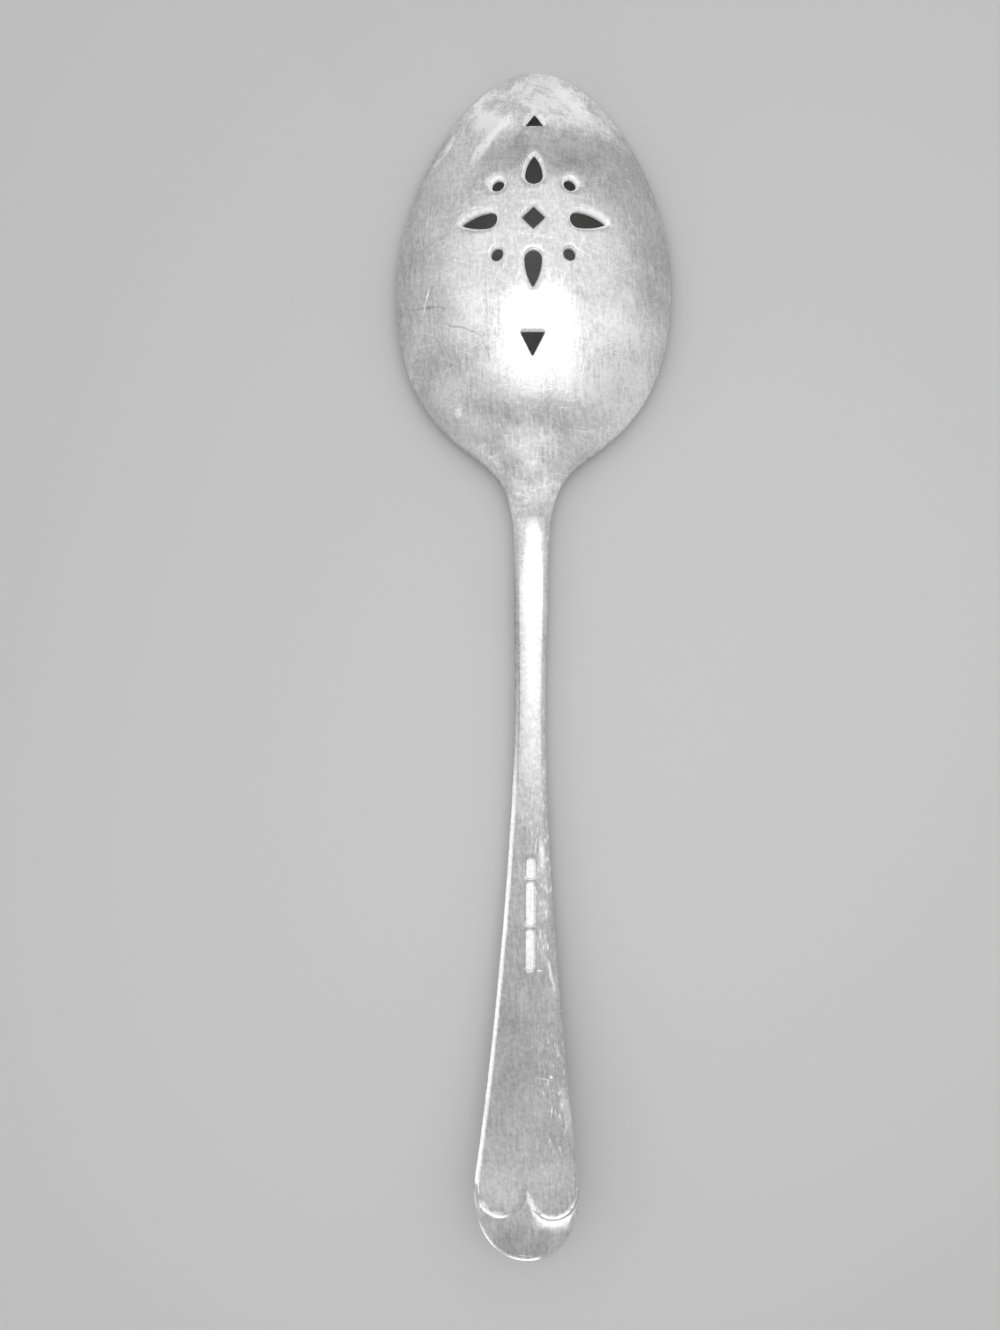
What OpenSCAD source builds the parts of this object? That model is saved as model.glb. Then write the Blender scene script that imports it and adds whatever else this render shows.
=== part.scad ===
// Pierced serving spoon, lying face down with the back of its bowl up.
// The tip of the bowl points along +Y, and the table is the plane Z = 0.
// Places along the spoon are distances from the tip of the bowl.

/* [Overall] */
// Length from the tip of the bowl to the end of the handle
overall_length = 215; // [200:1:235]

/* [Bowl outline] */
// Greatest width of the bowl
bowl_width = 50.7; // [44:0.1:58]
// Distance from the tip to the widest place
bowl_widest_at = 41; // [37:0.5:45]
// Distance from the tip to the shoulders, where the outline turns hollow
shoulder_at = 69.7; // [66:0.1:74]
// Width across the shoulders
shoulder_width = 27.6; // [24:0.1:32]
// Angle between the outline and the length at the shoulders
shoulder_angle = 51; // [44:1:56]

/* [Bowl depth] */
// Height of the bowl's back above the table
bowl_height = 15; // [12:0.1:19]
// Distance from the tip to the highest place of the back
crown_at = 40; // [37:0.5:45]
// Thickness of the wall at the highest place
bowl_wall = 1.3; // [1:0.05:2]
// Width of the flat land round the rim
rim_width = 1.5; // [1.1:0.05:2]
// Height of the rim above the table at the widest place
rim_rise = 2.3; // [1:0.1:4]
// Slope of the back at the tip
tip_angle = 38; // [32:1:44]
// Height of the back at the shoulders
heel_height = 7.9; // [7:0.1:9]
// Thickness of the wall at the shoulders
heel_wall = 2.1; // [1.5:0.1:3]
// Slope of the back at the shoulders
heel_angle = 20; // [15:1:24]
// Height of the rim at the shoulders
shoulder_rise = 2.2; // [1:0.1:3]
// Distance from the tip to the throat, where the hollow ends
throat_at = 86; // [82:0.5:89]

/* [Neck and stem] */
// Distance from the tip to the neck
neck_at = 94.5; // [91:0.5:97]
// Width of the neck
neck_width = 6.2; // [5:0.1:8]
// Height of the neck's front above the table
neck_rise = 0.45; // [0.3:0.05:0.8]
// Distance from the tip to the joint between neck and stem
stem_from = 99; // [98:0.5:101]
// Share of the length between the neck and the end piece that is stem, and not handle
stem_share = 0.395; // [0.36:0.005:0.42]
// Thickness of the stem
stem_thickness = 3.8; // [3:0.1:5]
// Distance from the tip to the middle of the flat that the stem rests on
rest_at = 112; // [111:0.5:114]
// Depth of the cut that makes the flat under the stem
rest_depth = 0.08; // [0.05:0.01:0.12]
// Distance from the tip to the narrowest place of the stem
waist_at = 118; // [114:0.5:124]
// Width of the stem at its narrowest place
waist_width = 5.7; // [4.6:0.1:8]

/* [Handle] */
// Thickness of the handle where the end piece begins
handle_thickness = 2.3; // [1.8:0.1:3]
// Width of the handle where its sides stop widening
flare_width = 18.5; // [15:0.1:22]
// Angle between each side and the length there
flare_angle = 7.8; // [6:0.1:9]
// Height of the front where the end piece begins
handle_rise = 5.5; // [4.5:0.1:7]
// Slope of the handle where the end piece begins
handle_angle = 7.5; // [6:0.5:9]
// Width of the rounded edge along the back
back_bevel = 1; // [0.6:0.05:1.3]
// Height of the rounded edge along the back
back_bevel_height = 0.6; // [0.4:0.05:0.8]
// Width and height of the slanted edge along the front
front_bevel = 0.6; // [0.4:0.05:0.8]
// Rise of the back from its edges to its middle
back_crown = 0.25; // [0.1:0.05:0.4]

/* [Handle end] */
// Length of the separate end piece
terminal_length = 17; // [16:0.5:19]
// Length of the round part of the outline
end_length = 13.5; // [12:0.1:15]
// Height of the front at the very end
end_rise = 8.7; // [7.5:0.1:10]
// Thickness at the very end
end_thickness = 2.8; // [2.4:0.1:3.4]
// Slope of the handle at the very end
end_angle = 13; // [10:0.5:16]
// Distance from the end to the centres of the two scrolls
scroll_from_end = 11.5; // [10.5:0.1:12.5]
// Radius of each scroll
scroll_radius = 4.7; // [4:0.1:5.4]
// Height of the step below the scrolls
scroll_step = 0.5; // [0.3:0.05:0.7]

/* [Piercings] */
// Distance from the tip to the middle of the pattern
pattern_at = 32.7; // [31:0.1:35]
// Width of the square in the middle, from corner to corner
diamond_width = 4.4; // [3:0.1:5]
// Diameter of the four round holes
hole_diameter = 2.6; // [2:0.1:3.2]
// Distance of the round holes from the middle, both ways
hole_offset = 6.4; // [5.6:0.1:7]
// Width of the four drops
drop_width = 3.4; // [2.6:0.1:4]
// Length of the drop towards the tip
tip_drop_length = 6.4; // [5.5:0.1:7.5]
// Distance from the middle of the pattern to the drop towards the tip
tip_drop_at = 9.25; // [8.6:0.05:9.8]
// Length of the drop towards the heel
heel_drop_length = 6.8; // [5.5:0.1:7.5]
// Distance from the middle of the pattern to the drop towards the heel
heel_drop_at = 9.1; // [8.4:0.05:9.6]
// Length of the drops that lie across the spoon
side_drop_length = 7.3; // [6:0.1:8]
// Distance from the middle of the pattern to the drops across the spoon
side_drop_at = 9.8; // [9.2:0.05:10.6]
// Width of the triangle towards the tip
tip_triangle_width = 3.6; // [3:0.1:5]
// Height of the triangle towards the tip
tip_triangle_height = 3.4; // [2.8:0.05:4.5]
// Distance from the middle of the pattern to the triangle towards the tip
tip_triangle_at = 19.65; // [18.8:0.05:20.6]
// Width of the triangle towards the heel
heel_triangle_width = 4.4; // [3.2:0.1:5]
// Height of the triangle towards the heel
heel_triangle_height = 4.15; // [3:0.05:4.5]
// Distance from the middle of the pattern to the triangle towards the heel
heel_triangle_at = 21; // [19.8:0.05:22]

/* [Blank panels] */
// Distance from the start of the handle to the first sunk panel in its back
panels_inset = 7.1; // [4:0.1:12]
// Distance of the panels from the middle of the handle
panel_offset = 0.25; // [0:0.05:0.5]
// Width of the sunk panels
panel_width = 1.8; // [1:0.1:2.2]
// Length of the first panel
first_panel = 3.7; // [3:0.1:5]
// Length of the second panel
second_panel = 8; // [6:0.1:9]
// Length of the third panel
third_panel = 7.3; // [6:0.1:9]
// Gap between neighbouring panels
panel_gap = 0.6; // [0.4:0.1:1]
// Depth of the panels
panel_depth = 0.15; // [0.1:0.01:0.25]

/* [Hidden] */

// Overrun of every cut past the surface that it cuts
overrun = 2;
// Steps of the outline from tip to widest place, from there to the throat, and along each other piece
tip_steps = 16;
side_steps = 20;
neck_steps = 6;
stem_steps = 10;
handle_steps = 14;
terminal_steps = 6;
end_steps = 14;
// Steps across the back of a section, the same across its front, and in each rounded edge
section_steps = 24;
bevel_steps = 4;
// Halvings of the search for a place on an outline curve
search_steps = 30;

// Reach of each outline curve's two handles, as a share of the size that the handle follows
tip_round_share = 0.502;
tip_reach_share = 0.423;
side_reach_share = 0.538;
shoulder_side_share = 0.298;
shoulder_neck_share = 0.42;
neck_reach_share = 0.764;
waist_reach_share = 0.4;
flare_start_share = 0.224;
flare_end_share = 0.33;
end_side_share = 0.59;
end_round_share = 0.65;
// Power of the bowl's section: 2 is a parabola and less is fuller at the sides
bowl_section_power = 1.9;
// Rounding of the sunk panels' corners, as a share of their width
panel_corner_share = 0.38;
// Stretch over which the section turns from a bowl into a bar, as shares of neck_at
bar_start_share = 0.66;
bar_full_share = 1.02;
// Slopes of the front's edge line at the tip, the widest place, the shoulders and the neck
tip_rim_slope = 0.07;
widest_rim_slope = 0.02;
shoulder_rim_slope = -0.05;
neck_rim_slope = -0.035;
// Slope of the back at the neck
neck_back_slope = -0.03;
// Slope of the hollow at the shoulders
heel_hollow_slope = -0.4;

terminal_from = overall_length - terminal_length;
handle_from = mix(stem_from, terminal_from, stem_share);
panels_from = handle_from + panels_inset;
flare_at = overall_length - end_length;
half_steps = section_steps / 2;
ring_count = 2 * (section_steps + 1);
bar_start = neck_at * bar_start_share;
bar_full = neck_at * bar_full_share;

// Outline curves as four control points each, in distance from the tip and half width.
shoulder_turn = [cos(shoulder_angle), -sin(shoulder_angle)];
flare_turn = [cos(flare_angle), sin(flare_angle)];
widest_point = [bowl_widest_at, bowl_width / 2];
shoulder_point = [shoulder_at, shoulder_width / 2];
neck_point = [neck_at, neck_width / 2];
waist_point = [waist_at, waist_width / 2];
flare_point = [flare_at, flare_width / 2];
end_point = [overall_length, 0];
side_run = shoulder_at - bowl_widest_at;
neck_run = neck_at - shoulder_at;
waist_run = waist_at - neck_at;
flare_run = flare_at - waist_at;

OUTLINE = [
    [[0, 0], [0, bowl_width / 2 * tip_round_share],
        widest_point - [bowl_widest_at * tip_reach_share, 0], widest_point],
    [widest_point, widest_point + [side_run * side_reach_share, 0],
        shoulder_point - shoulder_turn * side_run * shoulder_side_share, shoulder_point],
    [shoulder_point, shoulder_point + shoulder_turn * neck_run * shoulder_neck_share,
        neck_point - [neck_run * neck_reach_share, 0], neck_point],
    [neck_point, neck_point + [waist_run * waist_reach_share, 0],
        waist_point - [waist_run * waist_reach_share, 0], waist_point],
    [waist_point, waist_point + [flare_run * flare_start_share, 0],
        flare_point - flare_turn * flare_run * flare_end_share, flare_point],
    [flare_point, flare_point + flare_turn * end_length * end_side_share,
        end_point + [0, flare_width / 2 * end_round_share], end_point],
];

// Knots of the side profiles: distance from the tip, height and slope.
FRONT_EDGE = [
    [0, 0, tip_rim_slope],
    [bowl_widest_at, rim_rise, widest_rim_slope],
    [shoulder_at, shoulder_rise, shoulder_rim_slope],
    [neck_at, neck_rise, neck_rim_slope],
    [rest_at, -rest_depth, 0],
    [terminal_from, handle_rise, tan(handle_angle)],
    [overall_length, end_rise, tan(end_angle)],
];
BACK = [
    [0, 0, tan(tip_angle)],
    [crown_at, bowl_height, 0],
    [shoulder_at, heel_height, -tan(heel_angle)],
    [neck_at, neck_rise + stem_thickness, neck_back_slope],
    [rest_at, stem_thickness, 0],
    [terminal_from, handle_rise + handle_thickness, tan(handle_angle)],
    [overall_length, end_rise + end_thickness, tan(end_angle)],
];
HOLLOW = [
    [rim_width, profile(FRONT_EDGE, rim_width), tan(tip_angle)],
    [crown_at, bowl_height - bowl_wall, 0],
    [shoulder_at, heel_height - heel_wall, heel_hollow_slope],
    [throat_at, profile(FRONT_EDGE, throat_at), profile_slope(FRONT_EDGE, throat_at)],
];

// Cubic curve through the knots on both sides of a place
function knot_before(knots, at, i = 0) =
    i >= len(knots) - 2 || at < knots[i + 1][0] ? i : knot_before(knots, at, i + 1);
function profile(knots, at) =
    let (i = knot_before(knots, at), a = knots[i], b = knots[i + 1])
    let (run = b[0] - a[0], t = (at - a[0]) / run)
    a[1] + (b[1] - a[1]) * t * t * (3 - 2 * t)
        + run * t * (1 - t) * (a[2] * (1 - t) - b[2] * t);
function profile_slope(knots, at) =
    let (i = knot_before(knots, at), a = knots[i], b = knots[i + 1])
    let (run = b[0] - a[0], t = (at - a[0]) / run)
    (b[1] - a[1]) / run * 6 * t * (1 - t)
        + a[2] * (1 - t) * (1 - 3 * t) + b[2] * t * (3 * t - 2);

// Place and direction on an outline curve
function curve(c, t) =
    (1 - t) ^ 3 * c[0] + 3 * (1 - t) ^ 2 * t * c[1] + 3 * (1 - t) * t ^ 2 * c[2] + t ^ 3 * c[3];
function curve_turn(c, t) =
    let (d = (1 - t) ^ 2 * (c[1] - c[0]) + 2 * (1 - t) * t * (c[2] - c[1]) + t ^ 2 * (c[3] - c[2]))
    d / norm(d);
function curve_share(c, at, low = 0, high = 1, left = search_steps) =
    let (middle = (low + high) / 2)
    left == 0 ? middle
        : curve(c, middle)[0] < at ? curve_share(c, at, middle, high, left - 1)
        : curve_share(c, at, low, middle, left - 1);
function curve_index(at, i = 0) =
    i == len(OUTLINE) - 1 || at < OUTLINE[i][3][0] ? i : curve_index(at, i + 1);

// Outline at a place: half width, and the step inwards for a unit of edge width. The step is square
// to the outline at both round ends and goes straight across the spoon everywhere between them.
function outline(at) =
    let (i = curve_index(at), c = OUTLINE[i], t = curve_share(c, at), turn = curve_turn(c, t))
    let (round_end = i == 0 || i == len(OUTLINE) - 1)
    [curve(c, t)[1], round_end ? [turn[1], -turn[0]] : [0, -1 / turn[0]]];

// How far the section at a place has turned from a bowl into a bar
function bar_share(at) =
    let (t = max(0, min(1, (at - bar_start) / (bar_full - bar_start))))
    t * t * (3 - 2 * t);
function mix(a, b, share) = a * (1 - share) + b * share;
function hollow(at) =
    at >= throat_at ? 0 : max(0, profile(HOLLOW, max(at, rim_width)) - profile(FRONT_EDGE, at));
function edge_height(at) = profile(FRONT_EDGE, at) + front_bevel * bar_share(at);

// A point of the part from its distance across, its distance from the tip and its height
function place(across, at, height) = [across, overall_length / 2 - at, height];

// Back of the bowl and back of the bar, at one step of the section counted from its edge
function bowl_back(at, edge, step) =
    let (turn = 90 * step / half_steps)
    [edge[0] * cos(turn), at,
        mix(edge_height(at), profile(BACK, at), sin(turn) ^ bowl_section_power)];
function bar_back(at, edge, step) =
    let (turn = 90 * max(0, min(1, (step - 1) / bevel_steps)), inset = back_bevel * (1 - cos(turn)))
    let (there = [at, edge[0]] + inset * edge[1])
    let (top_share = min(1, (half_steps - step) / (half_steps - 1 - bevel_steps)))
    let (edge_top = profile(BACK, there[0]) - back_crown)
    [there[1] * top_share, there[0], step == 0
        ? edge_height(there[0])
        : edge_top - back_bevel_height * (1 - sin(turn)) + back_crown * (1 - top_share ^ 2)];
function back_point(at, edge, step) =
    let (near = min(step, section_steps - step), side = step <= half_steps ? 1 : -1)
    let (p = mix(bowl_back(at, edge, near), bar_back(at, edge, near), bar_share(at)))
    place(side * p[0], p[1], p[2]);
function front_point(at, edge, step) =
    let (there = [at, edge[0]] + mix(rim_width, front_bevel, bar_share(at)) * edge[1])
    let (turn = 180 * step / section_steps)
    place(-there[1] * cos(turn), there[0],
        profile(FRONT_EDGE, there[0]) + hollow(there[0]) * sin(turn) ^ bowl_section_power);
function ring(at) =
    let (edge = outline(at))
    concat(
        [for (step = [0:section_steps]) back_point(at, edge, step)],
        [for (step = [0:section_steps]) front_point(at, edge, step)]);

// Number of a point in its ring. At a round end the ring is a single line, so its points are shared.
function at_tip(step) = step <= section_steps ? 0 : section_steps + 1;
function at_end(step) =
    step <= section_steps ? min(step, section_steps - step, 1 + bevel_steps) : section_steps + 1;
function point_number(i, step, last, tip, end) =
    let (s = step % ring_count)
    i * ring_count + (tip && i == 0 ? at_tip(s) : end && i == last ? at_end(s) : s);
function quad(a, b, c, d) = [[a, b, c], [a, c, d]];
function whole(f) = f[0] != f[1] && f[1] != f[2] && f[2] != f[0];

// Solid through the sections at a list of places
module loft(places, tip = false, end = false) {
    last = len(places) - 1;
    function number(i, step) = point_number(i, step, last, tip, end);
    function across(i, step) = number(i, ring_count - 1 - step);
    sides = [
        for (i = [0:last - 1], step = [0:ring_count - 1])
            each quad(number(i + 1, step), number(i + 1, step + 1), number(i, step + 1), number(i, step))];
    first_lid = [
        for (step = [0:section_steps - 1])
            each quad(number(0, step), number(0, step + 1), across(0, step + 1), across(0, step))];
    last_lid = [
        for (step = [0:section_steps - 1])
            each quad(across(last, step), across(last, step + 1), number(last, step + 1), number(last, step))];
    faces = concat(sides, tip ? [] : first_lid, end ? [] : last_lid);
    points = [for (at = places) each ring(at)];
    polyhedron(points, [for (f = faces) if (whole(f)) f]);
}

function even_places(from, to, steps) = [for (i = [0:steps]) mix(from, to, i / steps)];
function tip_places() = [for (i = [0:tip_steps]) bowl_widest_at * (1 - cos(90 * i / tip_steps))];
function end_places() = [for (i = [1:end_steps]) flare_at + end_length * sin(90 * i / end_steps)];

// Height and lean of the back over a point, and a frame whose Z axis stands square to it there
function bowl_height_at(across, at) =
    mix(edge_height(at), profile(BACK, at), (1 - (across / outline(at)[0]) ^ 2) ^ (bowl_section_power / 2));
function bowl_normal(across, at) =
    let (d = rim_width)
    let (lean_across = bowl_height_at(across + d, at) - bowl_height_at(across - d, at))
    let (lean_along = bowl_height_at(across, at + d) - bowl_height_at(across, at - d))
    let (n = [-lean_across, lean_along, 2 * d])
    n / norm(n);
module on_bowl(across, at) {
    n = bowl_normal(across, at);
    translate(place(across, at, bowl_height_at(across, at)))
        rotate([-asin(n[1]), atan2(n[0], n[2]), 0])
            children();
}
module on_handle(at) {
    translate(place(0, at, profile(BACK, at)))
        rotate([-atan(profile_slope(BACK, at)), 0, 0])
            children();
}

// Shapes of the piercings, each with its point or its apex along +Y
module drop(length) {
    radius = drop_width / 2;
    reach = length - radius;
    side_radius = (radius ^ 2 + reach ^ 2) / drop_width;
    translate([0, radius - length / 2]) {
        circle(r = radius, $fn = 48);
        intersection() {
            translate([-radius, 0]) square([drop_width, reach]);
            translate([radius - side_radius, 0]) circle(r = side_radius, $fn = 96);
            translate([side_radius - radius, 0]) circle(r = side_radius, $fn = 96);
        }
    }
}
module triangle(width, height) {
    base = -height / 3;
    polygon([[-width / 2, base], [width / 2, base], [0, base + height]]);
}
module pierce(across, at, turn = 0) {
    on_bowl(across, at)
        rotate([0, 0, turn])
            translate([0, 0, -bowl_wall - overrun])
                linear_extrude(height = bowl_wall + 2 * overrun)
                    children();
}
module piercings() {
    pierce(0, pattern_at) circle(d = diamond_width, $fn = 4);
    pierce(0, pattern_at - tip_drop_at) drop(tip_drop_length);
    pierce(0, pattern_at + heel_drop_at, 180) drop(heel_drop_length);
    pierce(0, pattern_at - tip_triangle_at) triangle(tip_triangle_width, tip_triangle_height);
    pierce(0, pattern_at + heel_triangle_at, 180) triangle(heel_triangle_width, heel_triangle_height);
    for (side = [-1, 1]) {
        pierce(side * side_drop_at, pattern_at, -90 * side) drop(side_drop_length);
        for (end = [-1, 1])
            pierce(side * hole_offset, pattern_at + end * hole_offset) circle(d = hole_diameter, $fn = 48);
    }
}

// Sunk panel on the handle's back
module panel(from, length) {
    corner = panel_width * panel_corner_share;
    on_handle(from + length / 2)
        translate([panel_offset, 0, -panel_depth])
            linear_extrude(height = panel_depth + overrun) {
                square([panel_width - 2 * corner, length], center = true);
                square([panel_width, length - 2 * corner], center = true);
                for (x = [-1, 1], y = [-1, 1])
                    translate([x * (panel_width / 2 - corner), y * (length / 2 - corner)])
                        circle(r = corner, $fn = 32);
            }
}

// What the step under the two scrolls takes away: all of the end but the scrolls and what is above them
module below_scrolls() {
    scroll_at = overall_length - scroll_from_end;
    on_handle(scroll_at)
        rotate([atan(profile_slope(BACK, scroll_at)) - end_slant(scroll_at), 0, 0])
            translate([0, 0, -scroll_step])
                linear_extrude(height = scroll_step + back_crown + overrun)
                    difference() {
                        translate([-flare_width, -2 * scroll_from_end])
                            square([2 * flare_width, 2 * scroll_from_end]);
                        for (side = [-1, 1])
                            translate([side * scroll_radius, 0])
                                circle(r = scroll_radius, $fn = 64);
                    }
}
// Slant of the straight line along the back from a place to the end
function end_slant(at) =
    atan((profile(BACK, overall_length) - profile(BACK, at)) / (overall_length - at));

// What lies under the table where the stem rests
module under_table() {
    width = neck_width + waist_width;
    translate(place(-width / 2, handle_from, -overrun))
        cube([width, handle_from - stem_from, overrun]);
}

// Hollow bowl with its piercings, as far as the throat
module bowl() {
    color("silver")
        difference() {
            loft(concat(tip_places(), [for (at = even_places(bowl_widest_at, throat_at, side_steps))
                if (at > bowl_widest_at) at]), tip = true);
            piercings();
        }
}

// Heel of the bowl as it narrows into the stem
module neck() {
    color("silver")
        loft(even_places(throat_at, stem_from, neck_steps));
}

// Narrow stem with the flat that it rests on
module stem() {
    color("silver")
        difference() {
            loft(even_places(stem_from, handle_from, stem_steps));
            under_table();
        }
}

// Widening handle with three blank sunk panels in its back
module handle() {
    color("silver")
        difference() {
            loft(even_places(handle_from, terminal_from, handle_steps));
            panel(panels_from, first_panel);
            panel(panels_from + first_panel + panel_gap, second_panel);
            panel(panels_from + first_panel + second_panel + 2 * panel_gap, third_panel);
        }
}

// Round end with the two scrolls standing above it
module terminal() {
    color("silver")
        difference() {
            loft(concat(even_places(terminal_from, flare_at, terminal_steps), end_places()), end = true);
            below_scrolls();
        }
}

bowl();
neck();
stem();
handle();
terminal();
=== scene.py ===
import math

import bmesh
import bpy
import numpy as np
from mathutils import Matrix, Vector
from mathutils.geometry import delaunay_2d_cdt


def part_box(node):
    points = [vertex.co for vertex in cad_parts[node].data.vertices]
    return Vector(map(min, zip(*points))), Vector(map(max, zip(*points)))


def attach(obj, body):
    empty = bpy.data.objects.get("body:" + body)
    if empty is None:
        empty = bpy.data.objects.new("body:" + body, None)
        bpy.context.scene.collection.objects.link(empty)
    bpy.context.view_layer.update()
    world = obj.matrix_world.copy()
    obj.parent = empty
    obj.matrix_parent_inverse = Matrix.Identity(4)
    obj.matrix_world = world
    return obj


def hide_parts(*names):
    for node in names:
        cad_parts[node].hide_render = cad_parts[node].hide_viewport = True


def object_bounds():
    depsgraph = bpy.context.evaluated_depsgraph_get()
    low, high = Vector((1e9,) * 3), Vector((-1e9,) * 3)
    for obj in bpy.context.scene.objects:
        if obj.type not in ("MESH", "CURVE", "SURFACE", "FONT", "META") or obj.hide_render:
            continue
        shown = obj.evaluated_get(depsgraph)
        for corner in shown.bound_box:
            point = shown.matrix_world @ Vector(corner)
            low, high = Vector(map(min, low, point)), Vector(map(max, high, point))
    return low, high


# Pierced serving spoon, face down, in metres. Places along it are distances from its tip, which is at +Y
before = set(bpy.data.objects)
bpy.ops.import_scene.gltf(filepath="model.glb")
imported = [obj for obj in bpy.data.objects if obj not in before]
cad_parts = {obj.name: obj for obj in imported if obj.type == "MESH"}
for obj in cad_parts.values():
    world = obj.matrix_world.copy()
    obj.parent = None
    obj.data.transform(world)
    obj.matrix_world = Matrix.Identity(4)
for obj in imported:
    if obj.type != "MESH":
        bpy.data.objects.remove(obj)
cad_low, cad_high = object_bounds()

TIP_Y = cad_high.y
LENGTH = cad_high.y - cad_low.y


def starts_at(node):
    """Distance from the tip to the near end of a CAD node."""
    return TIP_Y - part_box(node)[1].y


# Pieces from the tip to the end, and the material slot of each
SLOTS = {
    "bowl": "bowl_silver",
    "neck": "bowl_silver",
    "stem": "handle_silver",
    "handle": "handle_silver",
    "terminal": "handle_silver",
}

# Places where pieces start
THROAT_AT = starts_at("neck")
HANDLE_FROM = starts_at("handle")
TERMINAL_FROM = starts_at("terminal")

# Outline
BOWL_WIDTH = 0.0507
WIDEST_AT = 0.041
SHOULDER_AT = 0.0697
SHOULDER_WIDTH = 0.0276
SHOULDER_ANGLE = math.radians(51)
NECK_AT = 0.0945
NECK_WIDTH = 0.0062
WAIST_AT = 0.118
WAIST_WIDTH = 0.0057
FLARE_WIDTH = 0.0185
FLARE_ANGLE = math.radians(7.8)
END_LENGTH = 0.0135
FLARE_AT = LENGTH - END_LENGTH

# Side profile
BOWL_HEIGHT = 0.015
CROWN_AT = 0.04
BOWL_WALL = 0.0013
RIM_WIDTH = 0.0015
RIM_RISE = 0.0023
TIP_ANGLE = math.radians(38)
HEEL_HEIGHT = 0.0079
HEEL_WALL = 0.0021
HEEL_ANGLE = math.radians(20)
SHOULDER_RISE = 0.0022
NECK_RISE = 0.00045
STEM_THICKNESS = 0.0038
REST_AT = 0.112
REST_DEPTH = 0.00008
HANDLE_THICKNESS = 0.0023
HANDLE_RISE = 0.0055
HANDLE_ANGLE = math.radians(7.5)
END_RISE = 0.0087
END_THICKNESS = 0.0028
END_ANGLE = math.radians(13)

# Edges
BACK_BEVEL = 0.001
BACK_BEVEL_HEIGHT = 0.0006
BEVEL_POWER = 1.7
FRONT_BEVEL = 0.0006
BACK_CROWN = 0.00025
RIM_ROUND = 0.00025
LAND_ROUND = 0.0003

# Shape of the curves, as in the solids
TIP_ROUND_SHARE = 0.502
TIP_REACH_SHARE = 0.423
SIDE_REACH_SHARE = 0.538
SHOULDER_SIDE_SHARE = 0.298
SHOULDER_NECK_SHARE = 0.42
NECK_REACH_SHARE = 0.764
WAIST_REACH_SHARE = 0.4
FLARE_START_SHARE = 0.224
FLARE_END_SHARE = 0.33
END_SIDE_SHARE = 0.59
END_ROUND_SHARE = 0.65
TIP_RIM_SLOPE = 0.07
WIDEST_RIM_SLOPE = 0.02
SHOULDER_RIM_SLOPE = -0.05
NECK_RIM_SLOPE = -0.035
NECK_BACK_SLOPE = -0.03
HEEL_HOLLOW_SLOPE = -0.4
SECTION_POWER = 1.9
BAR_START_SHARE = 0.66
BAR_FULL_SHARE = 1.02
BAR_START = NECK_AT * BAR_START_SHARE
BAR_FULL = NECK_AT * BAR_FULL_SHARE
# Shares of the half section, from its edge to its middle, where the side wall and the rounded edge end
WALL_SHARE = 1 / 12
TOP_SHARE = 5 / 12

# Scrolls on the end
SCROLL_FROM_END = 0.0115
SCROLL_RADIUS = 0.0047
SCROLL_STEP = 0.00055
SCROLL_WALL = 0.0002
SCROLL_LIP = 0.00019
SCROLL_LIP_WIDTH = 0.00055
SCROLL_WORN_WALL = 0.00085
SCROLL_WORN_STEP = 0.00048
SCROLL_CRISP_AT = 0.0028
SCROLL_WORN_AT = 0.0005
SCROLL_CUSP_RUN = 0.001
SCROLL_CUSP_FADE = 0.0025
SCROLL_CUSP_SHARE = 0.2
SCROLL_RAMP = 0.0016
SCROLL_LOW = 0.0002
SCROLL_AT = LENGTH - SCROLL_FROM_END
SCROLL_CUSP_AT = SCROLL_AT - SCROLL_CUSP_RUN
SCROLL_ARC_STEP = 0.00012
# Distances from the edge of the scrolls at which points follow the relief
SCROLL_OFFSETS = (SCROLL_WALL / 3, SCROLL_WALL * 2 / 3, SCROLL_WALL, SCROLL_WALL * 2,
                  SCROLL_WORN_WALL, -SCROLL_RAMP / 10, -SCROLL_RAMP / 4)
GROOVE_OFFSETS = (SCROLL_WALL, SCROLL_WALL * 2)

# Piercings
PATTERN_AT = 0.0327
DIAMOND_WIDTH = 0.0044
HOLE_DIAMETER = 0.0026
HOLE_OFFSET = 0.0064
DROP_WIDTH = 0.0034
TIP_DROP_LENGTH = 0.0064
TIP_DROP_AT = 0.00925
HEEL_DROP_LENGTH = 0.0068
HEEL_DROP_AT = 0.0091
SIDE_DROP_LENGTH = 0.0073
SIDE_DROP_AT = 0.0098
TIP_TRIANGLE_WIDTH = 0.0036
TIP_TRIANGLE_HEIGHT = 0.0034
TIP_TRIANGLE_AT = 0.01965
HEEL_TRIANGLE_WIDTH = 0.0044
HEEL_TRIANGLE_HEIGHT = 0.00415
HEEL_TRIANGLE_AT = 0.021
LIP_WIDTH = 0.00055
LIP_DROP = 0.0005
LIP_POWER = 1.75
LIP_INSET = 0.00015
FRONT_LIP_RADIUS = 0.00012
CORNER_RADIUS = 0.0002
# Size of the worn lips of some holes, as shares of a full lip
MIDDLE_LIP_SHARE = 0.75
HEEL_LIP_SHARE = 0.65
LAST_LIP_SHARE = 0.3

# Sunk panels
PANELS_INSET = 0.0071
PANEL_OFFSET = 0.00025
PANEL_WIDTH = 0.0018
PANEL_LENGTHS = (0.0037, 0.008, 0.0073)
PANEL_GAP = 0.0006
PANEL_DEPTH = 0.00015
PANEL_CORNER = 0.00068
PANEL_WALL = 0.00012
PANEL_RIM = 0.00012

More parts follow.
